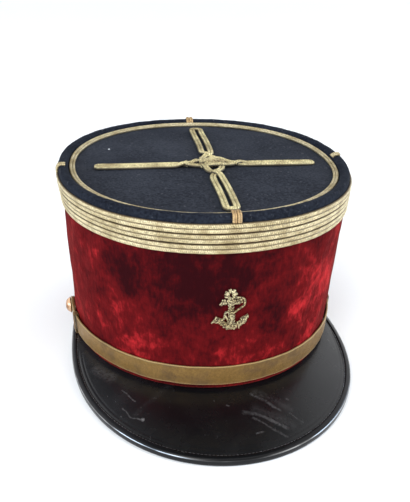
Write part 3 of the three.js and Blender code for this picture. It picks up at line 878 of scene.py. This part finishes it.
def wool_rim():
    def spot(s, t):
        inward, up = along_rows(RIM_ROLL, t)
        angle = math.tau * s
        lift = smooth(1.2, 3.5, up)
        wrinkle = 0.09 * ripple(41 * angle, inward, 0.7) + 0.12 * ripple(13 * angle, 0.5 * inward, 2.2)
        return on_crown_edge(angle, -inward, up + lift * wrinkle)
    return grid(300, RIM_STEPS, spot)


piece("wool_rim", wool_rim(), [shaded_rim_wool], ["crown_rim"])


# Braids round the top of the wall and inside the rim.

# How far down the wall, in mm, the rim's overhang still pushes the braids out.
OVERHANG_FADE = 17


def side_braid(index):
    rows = rib_rows(BRAID_HEIGHT, BRAID_DEPTH, 0.35)

    def place(angle, across, up):
        sway = 0.12 * ripple(5 * angle, index, 1.1)
        down = index * BRAID_PITCH + BRAID_HEIGHT - across
        out = GAP + up + 0.05 * ripple(31 * angle, across, 0.4 + index)
        out += overhang(angle) * smooth(OVERHANG_FADE, 1, down)
        return on_wall(angle, wall_slope(angle) - down + sway, out)
    return ring(rows, place, steps=360, girth=560)


for index in range(BRAID_COUNT):
    piece(f"braid_round_{index + 1}", side_braid(index), [braid], [f"side_braid_{index + 1}"])


def ring_braid():
    rows = rib_rows(RING_WIDTH, 1.15, 0.4)

    def place(angle, across, up):
        lean = 0.1 + (0.1 + 0.58 * (1 + math.sin(angle))) * across / RING_WIDTH
        inner = -(2 * GAP + RIM_WIDTH) - RING_WIDTH + across + GAP
        return on_crown_edge(angle, inner - 0.35 * up, TOP_RISE + up + lean * min(up / 0.4, 1))
    return ring(rows, place, steps=320, girth=520)


piece("braid_on_crown", ring_braid(), [ring_gold], ["ring_braid"])


# Tabs: two short lobes of braid over the rim.

# Each tab: its place in degrees and the rows of the rim's roll where it starts and ends.
TABS = {"front": (-90, 1, 9), "back": (87.4, 3, 13), "left": (-176, 1, 9), "right": (-3, 5, 11)}
TAB_WIDTH = 5.2
TAB_LIFT = 0.75
TAB_STEPS = 20


def rim_tab(angle, first, last):
    away = outward(crown_edge, angle, UP)
    sideways = Vector((-away.y, away.x, 0))
    over = [along_rows(RIM_ROLL[first:last], i / TAB_STEPS) for i in range(TAB_STEPS + 1)]

    def lobe(side):
        points = []
        for i, (inward, up) in enumerate(over):
            before, after = over[max(i - 1, 0)], over[min(i + 1, TAB_STEPS)]
            lean = Vector((after[1] - before[1], after[0] - before[0])).normalized()
            point = on_crown_edge(angle, -inward + TAB_LIFT * lean.x, up + TAB_LIFT * lean.y)
            points.append(point + sideways * side * TAB_WIDTH * 0.24)
        return tube(points, 1.2, steps=30, sides=12, flat=0.62, normal=UP + away * 0.6)
    return merge([lobe(-1), lobe(1)])


for name, (degrees, first, last) in TABS.items():
    look = tab_braid if name in ("front", "back") else braid
    tab = rim_tab(math.radians(degrees), first, last)
    piece(f"tab_{name}", tab, [look], [f"rim_tab_{name}"])


# Cross: soutache strands sewn flat, which cross at the foot of each arm.

STRAND_WIDTH = 3.9
STRAND_HEIGHT = 1.4


def strand(points, steps):
    """A flat two-rib braid along a line of (x, y, lift) beside the knot's centre."""
    rows = rib_rows(STRAND_WIDTH, STRAND_HEIGHT, 0.5, steps=7)
    line = [Vector(point) for point in points]
    lengths = curve_lengths(line, steps)

    def spot(s, t):
        across, up, _ = along_rows(rows, t)
        here = along_curve(line, s)
        run = curve_run(line, s, 0.003)
        side = Vector((run.y, -run.x)).normalized() * (across - STRAND_WIDTH / 2)
        return on_knot(here.x + side.x, here.y + side.y, GAP + here.z + up)

    def unrolled(s, t):
        return lengths[round(s * steps)], along_rows(rows, t)[2]

    return closed(grid(steps, len(rows) - 1, spot, unrolled))


# Each arm: the way it points, where its strands cross, its end, and its width at the strands' middles.
ARMS = {
    "front": (-90, 17.0, 71.6, 5.7),
    "back": (90, 17.2, 80.2, 5.9),
    "left": (180, 16.2, 70.6, 3.9),
    "right": (0, 15.2, 64.0, 3.9),
}


def knot_arm(degrees, start, end, width):
    half = width / 2
    turn = Matrix.Rotation(math.radians(degrees), 2)
    length = end - start - STRAND_WIDTH / 2
    line = [(-1.6, 1.5, 0.2), (0, 0.2, 0.1), (2.5, -half * 0.55, 0), (7, -half * 0.95, 0)]
    line += [(length * k, -half, 0) for k in (0.3, 0.5, 0.7, 0.85)]
    line += [(length - half * 0.8, -half * 0.98, 0), (length - half * 0.15, -half * 0.72, 0)]
    line.append((length, 0, 0))
    back = [(x, -y, z) for x, y, z in reversed(line[:-1])]
    back = [(x, y, z + (1.0 if x < 3 else 0)) for x, y, z in back]
    points = []
    for x, y, z in line + back:
        sway = 0.25 * math.sin(x * 0.11 + degrees)
        flat = turn @ Vector((start + x, y + sway))
        points.append((flat.x, flat.y, z))
    return strand(points, 150)


for name, sizes in ARMS.items():
    piece(f"cross_{name}", knot_arm(*sizes), [cross_braid], [f"knot_arm_{name}"])

# The knot: pointed strands that weave over and under, with shorter ones among them.
KNOT_SIDES = [
    [(-0.6, 17.0, 0.9), (-3.4, 12.5, 0.3), (-5.2, 6.5, 1.3), (-5.6, 0, 0.2), (-5.2, -6, 1.3),
     (-3.4, -12, 0.2), (0.3, -17.0, 0.5)],
    [(-1.2, 17.2, 0.3), (2.6, 12.8, 0.2), (5.0, 6.5, 0.3), (5.6, 0, 1.5), (5.0, -6, 0.5),
     (3.4, -12, 1.0), (-0.6, -17.2, 1.2)],
    [(-16.4, 1.0, 0.3), (-12.5, 1.7, 0.8), (-9.0, 3.0, 1.6), (-4.6, 6.2, 0.2), (0.5, 7.0, 1.3),
     (5.6, 6.4, 1.4), (10.4, 3.4, 0.4), (15.4, -1.0, 1.0)],
    [(-16.4, -1.4, 1.1), (-11, -1.9, 0.3), (-5.4, -3.4, 0.5), (0, -4.4, 1.5), (5.4, -4.6, 1.5),
     (10.4, -3.2, 1.0), (15.4, 1.2, 0.3)],
]
KNOT_FILL = [
    [(-7.6, 1.0, 1.2), (-3.0, 1.4, 1.6), (2.0, 0.2, 0.7), (7.6, 1.4, 1.4)],
    [(-2.4, 10.0, 0.2), (-1.6, 4.0, 1.5), (-1.4, 0.0, 0.9), (-2.0, -4.0, 0.2)],
    [(2.4, 9.0, 0.6), (1.8, 4.4, 0.4), (1.6, -0.5, 1.6), (2.4, -3.6, 0.4)],
    [(-6.6, -5.6, 0.2), (-2.8, -1.6, 1.2), (1.4, 2.8, 1.5), (6.4, 7.2, 0.2)],
]


def knot_middle():
    return merge([strand(points, 60) for points in KNOT_SIDES + KNOT_FILL])


piece("cross_knot", knot_middle(), [cross_braid], ["knot_centre"])


# Badge: a fouled anchor sewn in gold wire.

def on_badge(x, y, rise):
    """A point from shares of the badge's half width and half height, and mm above the velvet."""
    angle = FRONT + x * BADGE_WIDTH / 2 / BAND_HALF_WIDTH
    return on_wall(angle, BADGE_LEVEL + y * BADGE_HEIGHT / 2, GAP + rise)


# The way the badge faces.
BADGE_NORMAL = Vector((0, -1, 0.05))

# Lines of the anchor in shares of its half width and height, its half width in mm at each end of
# the line, and how high it is padded.
ANCHOR_LINES = [
    ([(-0.1, 0.64), (-0.08, 0.3), (-0.03, -0.2), (0.0, -0.8)], 1.1, 1.35, 1.0),
    ([(-0.6, 0.4), (-0.36, 0.4), (-0.08, 0.4), (0.2, 0.39), (0.42, 0.38)], 1.45, 1.15, 0.7),
    ([(0.02, -0.79), (-0.2, -0.73), (-0.38, -0.63), (-0.56, -0.52), (-0.74, -0.45)], 1.85, 1.2, 0.9),
    ([(-0.02, -0.79), (0.2, -0.75), (0.42, -0.65), (0.6, -0.54), (0.74, -0.42)], 1.85, 1.2, 0.9),
    ([(0.02, 0.6), (0.08, 0.74), (0.02, 0.86), (-0.11, 0.9), (-0.25, 0.86), (-0.3, 0.74),
      (-0.25, 0.62)], 0.95, 0.95, 0.6),
    ([(-0.6, -0.46), (-0.94, -0.4)], 1.3, 2.1, 0.7),
    ([(0.54, -0.56), (0.82, -0.3)], 2.3, 0.6, 0.7),
]
# The rope's run and its two loose ends, in the same shares.
ROPE_LINES = [
    [(0.12, 0.6), (0.3, 0.6), (0.48, 0.56), (0.58, 0.46), (0.6, 0.36), (0.52, 0.22), (0.38, 0.13),
     (0.24, 0.04), (0.08, -0.06), (-0.12, -0.06), (-0.28, -0.02), (-0.35, -0.1), (-0.37, -0.22),
     (-0.42, -0.32), (-0.58, -0.42)],
    [(-0.36, -0.12), (-0.3, -0.26), (-0.22, -0.4), (-0.16, -0.54)],
    [(0.36, 0.56), (0.42, 0.46), (0.46, 0.36)],
]
ROPE_RADIUS = 0.55
PURL_RADIUS = 0.43
PURL_PITCH = 0.9


def purls(line, start_width, end_width, padding):
    """Short coils of wire laid slantwise side by side over a padded line."""
    forms = []
    for (x0, y0), (x1, y1) in zip(line, line[1:]):
        step = Vector(((x1 - x0) * BADGE_WIDTH / 2, (y1 - y0) * BADGE_HEIGHT / 2))
        count = max(round(step.length / PURL_PITCH), 1)
        side = Vector((-step.y, step.x)).normalized()
        lean = step.normalized()
        done = line.index((x0, y0)) / (len(line) - 1)
        for i in range(count):
            share = (i + 0.5) / count
            width = start_width + (end_width - start_width) * (done + share / (len(line) - 1))
            jitter = 0.5 + 0.5 * ripple(17 * (x0 + share), 29 * (y0 + share), 2.9 * i)
            half = width * (0.6 + 0.66 * jitter)
            points = []
            for k in (-1, -0.5, 0, 0.5, 1):
                offset = side * half * k + lean * (0.75 * k + 0.4 * (jitter - 0.5))
                x = x0 + (x1 - x0) * share + offset.x / (BADGE_WIDTH / 2)
                y = y0 + (y1 - y0) * share + offset.y / (BADGE_HEIGHT / 2)
                rise = PURL_RADIUS + padding * math.sqrt(max(1 - k * k, 0)) + 0.8 * jitter
                points.append(on_badge(x, y, rise))
            forms.append(tube(points, PURL_RADIUS, steps=10, sides=8, normal=BADGE_NORMAL,
                              twist=6.3, lobes=1, lobe=0.18))
    return forms


def anchor():
    forms = []
    for line in ANCHOR_LINES:
        forms += purls(*line)
    for line in ROPE_LINES:
        points = [on_badge(x, y, 1.7 + 0.2 * math.sin(40 * x)) for x, y in line]
        forms.append(tube(points, ROPE_RADIUS, steps=110, normal=BADGE_NORMAL,
                          twist=4.5, lobes=2, lobe=0.28))
    return merge(forms)


piece("wire_anchor", anchor(), [bullion], ["anchor_badge"])


# Chin strap of lace, with its slides and buttons.

def strap_level(turn):
    return STRAP_LEVEL + (BUTTON_LEVEL - STRAP_LEVEL) * (turn / BUTTON_TURN) ** 4


def strap_standoff(turn):
    slide_half = math.degrees(SLIDE_LENGTH / BAND_HALF_LENGTH)
    share = min(abs(turn) / (SLIDE_TURN - slide_half), 1)
    return GAP + (SLIDE_THICKNESS + GAP) * share ** 4


def strap_point(turn, up, out):
    return on_wall(FRONT + math.radians(turn), strap_level(turn) + up, strap_standoff(turn) + out)


STRAP_END = BUTTON_TURN + math.degrees(STRAP_TAIL / BAND_HALF_LENGTH)
# The strap's section: rows of a share of its width, and mm out from its inner face.
STRAP_ROWS = [
    [-0.5, 0.65], [-0.495, 1.0], [-0.48, 1.18], [-0.455, 1.22], [-0.43, 1.16], [-0.2, 1.28], [0, 1.34],
    [0.2, 1.28], [0.43, 1.16], [0.455, 1.22], [0.48, 1.18], [0.495, 1.0], [0.5, 0.65], [0.48, 0.15],
    [0.3, 0.0], [0, 0.0], [-0.3, 0.0], [-0.48, 0.15], [-0.5, 0.65],
]
STRAP_RIDE = 0.3


def chin_strap():
    per_degree = math.radians(BAND_HALF_LENGTH)

    def spot(s, t):
        turn = (2 * s - 1) * STRAP_END
        across, out = along_rows(STRAP_ROWS, t)
        inset = max(1 - (STRAP_END - abs(turn)) * per_degree / (STRAP_WIDTH / 2), 0)
        width = STRAP_WIDTH * math.sqrt(1 - 0.75 * inset * inset)
        wave = 0.1 * ripple(0.35 * turn, 3 * across, 2.7)
        if out < 0.2:
            out -= (strap_standoff(turn) - GAP) * smooth(SLIDE_TURN + 3, SLIDE_TURN + 6, abs(turn))
        ride = STRAP_RIDE * smooth(SLIDE_TURN, 40, abs(turn))
        return strap_point(turn, across * width + ride + 0.12 * ripple(0.2 * turn, 0, 1.9), out + wave)

    def unrolled(s, t):
        return 2 * s * STRAP_END * per_degree, along_rows(STRAP_ROWS, t)[0] + 0.5

    return closed(grid(300, 36, spot, unrolled))


piece("lace_strap", chin_strap(), [lace], ["chin_strap"])


def at_strap(bm, turn, out):
    """Lays a form on the strap: its x along it, y up it and z away from the wall."""
    middle = strap_point(turn, 0, out)
    along = (strap_point(turn + 1, 0, out) - strap_point(turn - 1, 0, out)).normalized()
    away = (strap_point(turn, 0, out + 1) - middle).normalized()
    up = away.cross(along).normalized()
    away = along.cross(up)
    turned = Matrix((along, up, away)).transposed().to_4x4()
    bmesh.ops.transform(bm, matrix=Matrix.Translation(middle) @ turned, verts=bm.verts)
    return bm


# How far a slide's middle lies out from the strap's inner face, and the radius of its corners, in mm.
SLIDE_MIDDLE = STRAP_THICKNESS / 2 + 0.1
SLIDE_CORNER = 0.75


def strap_slide(side):
    half_height = STRAP_WIDTH / 2 + GAP + SLIDE_THICKNESS / 2
    half_depth = SLIDE_MIDDLE + GAP + SLIDE_THICKNESS / 2
    line = []
    for cy, cz, start in ((1, 1, 0), (-1, 1, 90), (-1, -1, 180), (1, -1, 270)):
        for k in (0, 45, 90):
            a = math.radians(start + k)
            line.append((cy * (half_height - SLIDE_CORNER) + SLIDE_CORNER * math.cos(a),
                         cz * (half_depth - SLIDE_CORNER) + SLIDE_CORNER * math.sin(a)))
    line.append(line[0])

    def spot(s, t):
        y, z = along_rows(line, s)
        turn = math.tau * t
        outer = SLIDE_THICKNESS / 2 * math.sin(turn)
        flat = math.copysign(abs(math.cos(turn)) ** 0.45, math.cos(turn))
        length = math.hypot(y / half_height, z / half_depth)
        y += outer * y / half_height / length
        z += outer * z / half_depth / length
        return Vector((SLIDE_LENGTH / 2 * flat, y, z))
    return at_strap(grid(48, 16, spot, lambda s, t: (30 * s, t)), side * SLIDE_TURN, SLIDE_MIDDLE)


# The button's section: its radius and mm out from the strap's inner face.
BUTTON_SECTION = [
    (1.6, -1.0), (1.6, 1.4), (4.4, 1.4), (5.0, 1.5), (5.3, 1.8), (5.3, 2.1), (5.0, 2.35), (4.8, 2.5),
    (4.5, 3.1), (3.9, 3.85), (3.0, 4.5), (1.9, 4.9), (0.8, 5.03), (0.0, 5.05),
]


def side_button(side):
    bm = bmesh.new()
    verts = [bm.verts.new((r, 0, z)) for r, z in BUTTON_SECTION]
    edges = [bm.edges.new(pair) for pair in zip(verts, verts[1:])]
    bmesh.ops.spin(bm, geom=verts + edges, cent=(0, 0, 0), axis=(0, 0, 1), steps=48,
                   angle=math.tau, use_merge=True)
    bmesh.ops.remove_doubles(bm, verts=bm.verts, dist=0.001)
    return at_strap(closed(bm), side * BUTTON_TURN, 0)


for name, side in (("left", -1), ("right", 1)):
    piece(f"lace_slide_{name}", strap_slide(side), [lace], [f"strap_slide_{name}"])
    piece(f"dome_button_{name}", side_button(side), [brass], [f"side_button_{name}"])


# Peak: glossy leather with a bound edge, a pressed groove inside it and stitches.

PEAK_TURN = 90
BINDING_TURN = 88
PEAK_SLOPE = (band_edge(FRONT).z - 3 * GAP - PEAK_THICKNESS - BINDING_THICKNESS + BAND_PRESS) / PEAK_REACH


def peak_reach(turn):
    share = max(math.cos(math.radians(turn)), 0) ** PEAK_FALL_POWER
    corner = max((abs(turn) - PEAK_TURN) / PEAK_CORNER_TURN + 0.8, 0)
    return PEAK_END_REACH * math.sqrt(1 - corner * corner) + (PEAK_REACH - PEAK_END_REACH) * share


def on_peak(turn, away, up):
    """A point away mm outside the band's lower edge, and up mm above the peak's upper face."""
    angle = FRONT + math.radians(turn)
    point = band_edge(angle) + outward(band_edge, angle, UP) * away
    share = min(max(away / peak_reach(turn), 0), 1)
    bulge = PEAK_CROWN * math.sin(math.pi * share) * math.cos(math.radians(turn))
    point.z = band_plane(point.y if away < 0 else band_edge(angle).y)
    point.z += bulge - GAP - PEAK_SLOPE * max(away, 0) + up
    return point


# Grooves pressed in the peak: the distance from its rim, the half width and the depth, in mm.
GROOVES = [(4.4, 0.45, 0.28), (6.6, 0.35, 0.14)]
UPPER_ROWS = 64
UNDER_ROWS = 11


def peak_plate():
    last = UPPER_ROWS + UNDER_ROWS + 2

    def spot(s, t):
        turn = (2 * s - 1) * PEAK_TURN
        edge = max(peak_reach(turn) - BINDING_THICKNESS - GAP, GAP)
        i = t * last
        if i <= UPPER_ROWS:
            away = -WALL + (edge + WALL) * (i / UPPER_ROWS)
            up = 0.0
            for inset, width, depth in GROOVES:
                beside = (edge + BINDING_THICKNESS + GAP - away - inset) / width
                up -= depth * math.exp(-beside ** 2) * smooth(8, 16, edge)
            wave = 0.12 * ripple(0.09 * turn, 0.13 * away, 3.3)
            up += wave * smooth(2, 12, away) * smooth(3, 10, edge - away)
        else:
            share = min(max((i - UPPER_ROWS - 1) / UNDER_ROWS, 0), 1)
            away = edge + (-WALL - edge) * share
            up = 0.0 if i > last - 1 else -PEAK_THICKNESS
        return on_peak(turn, away, up)

    return closed(grid(180, last, spot))


piece("leather_peak", peak_plate(), [leather], ["peak"])

# The binding's section: rows of a share of its width inwards, and mm up from the peak's upper face.
BINDING_ROWS = [
    (1.0, 0.32), (0.98, 0.75), (0.9, 1.02), (0.7, 1.12), (0.4, 1.1), (0.18, 0.92), (0.05, 0.5),
    (0.0, -0.1), (0.0, -1.4), (0.06, -2.5), (0.2, -3.1), (0.45, -3.28), (0.8, -3.26), (0.98, -3.05),
    (1.0, -2.55), (0.3, -2.5), (0.27, -1.2), (0.3, 0.3), (1.0, 0.32),
]


def binding():
    def spot(s, t):
        turn = (2 * s - 1) * BINDING_TURN
        reach = peak_reach(turn)
        width = min(BINDING_WIDTH, reach - GAP)
        inward, up = along_rows(BINDING_ROWS, t)
        if up > 0.4:
            up += 0.04 * ripple(1.7 * turn, inward, 1.5)
        point = on_peak(turn, reach - inward * width, up)
        point.z = max(point.z, 0)
        return point
    return closed(grid(260, 54, spot))


piece("bound_edge", binding(), [binding_leather], ["peak_binding"])

STITCH_PITCH = 2.1
STITCH_INSET = 3.75
STITCH_TURN = 74
STITCH_RADIUS = 0.22


def stitches():
    forms = []
    turn = -STITCH_TURN
    while turn < STITCH_TURN:
        before, after = (on_peak(turn + k, peak_reach(turn + k), 0) for k in (-0.5, 0.5))
        step = STITCH_PITCH / (after - before).length
        ends = (turn + 0.16 * step, turn + 0.84 * step)
        points = []
        for k in (0, 0.25, 0.5, 0.75, 1):
            here = ends[0] + (ends[1] - ends[0]) * k
            up = 0.18 * math.sin(math.pi * k) - 0.12
            points.append(on_peak(here, peak_reach(here) - STITCH_INSET, up))
        forms.append(tube(points, STITCH_RADIUS, steps=6, sides=6))
        turn += step
    return merge(forms)


piece("edge_stitches", stitches(), [thread], [])


# Floor, light and backdrop.

def add_floor():
    bm = bmesh.new()
    bmesh.ops.create_grid(bm, x_segments=1, y_segments=1, size=30)
    mesh = bpy.data.meshes.new("floor")
    bm.to_mesh(mesh)
    bm.free()
    look, shader = new_material("pale_floor")
    shader.inputs["Base Color"].default_value = rgb(0.93, 0.93, 0.93)
    shader.inputs["Roughness"].default_value = 0.7
    mesh.materials.append(look)
    add_object("floor", mesh)


def add_light(name, place, size, power, colour=(1, 1, 1)):
    data = bpy.data.lights.new(name, "AREA")
    data.shape = "DISK"
    data.size = size
    data.energy = power
    data.color = colour
    lamp = add_object(name, data)
    lamp.location = place
    lamp.rotation_euler = (Vector((0, 0, 0.05)) - Vector(place)).to_track_quat("-Z", "Y").to_euler()


add_floor()
add_light("key", (-0.5, -0.8, 0.9), 0.8, 8)
add_light("fill", (0.9, -0.7, 0.7), 1.0, 5)


def add_backdrop():
    """A white studio with two bluish windows, darker high up behind the cap and in front of it."""
    world = bpy.data.worlds.new("studio")
    bpy.context.scene.world = world
    world.use_nodes = True
    g = Graph(world.node_tree)
    x, y, z = g.xyz(g.place("Generated"))
    narrow = g.between(g.math("ABSOLUTE", x), 0.3, 0.52, 1.0, 0.0)
    behind = g.times(g.between(y, -0.15, 0.05), narrow)
    dark = g.times(g.between(z, 0.08, 0.3), behind)
    front = g.times(g.between(y, -0.45, -0.15, 1.0, 0.0), g.between(z, 0.3, 0.5))
    to_left = g.plus(g.times(x, -0.83), g.times(y, -0.56))
    left_window = g.between(to_left, 0.82, 0.88)
    window = g.math("MAXIMUM", left_window, g.between(x, 0.86, 0.92))
    low = g.times(g.between(z, 0.04, 0.08), g.between(z, 0.34, 0.4, 1.0, 0.0))
    window = g.times(window, low)
    shade = g.plus(g.times(dark, 1.3), g.times(front, 0.6))
    strength = g.minus(1.45, shade)
    background = world.node_tree.nodes["Background"]
    g.put(background.inputs["Color"], g.mix(window, rgb(0.98, 0.99, 1.0), rgb(0.62, 0.79, 1.0)))
    g.put(background.inputs["Strength"], g.plus(strength, g.times(window, 7.0)))


add_backdrop()
bpy.context.scene.view_settings.view_transform = "Standard"
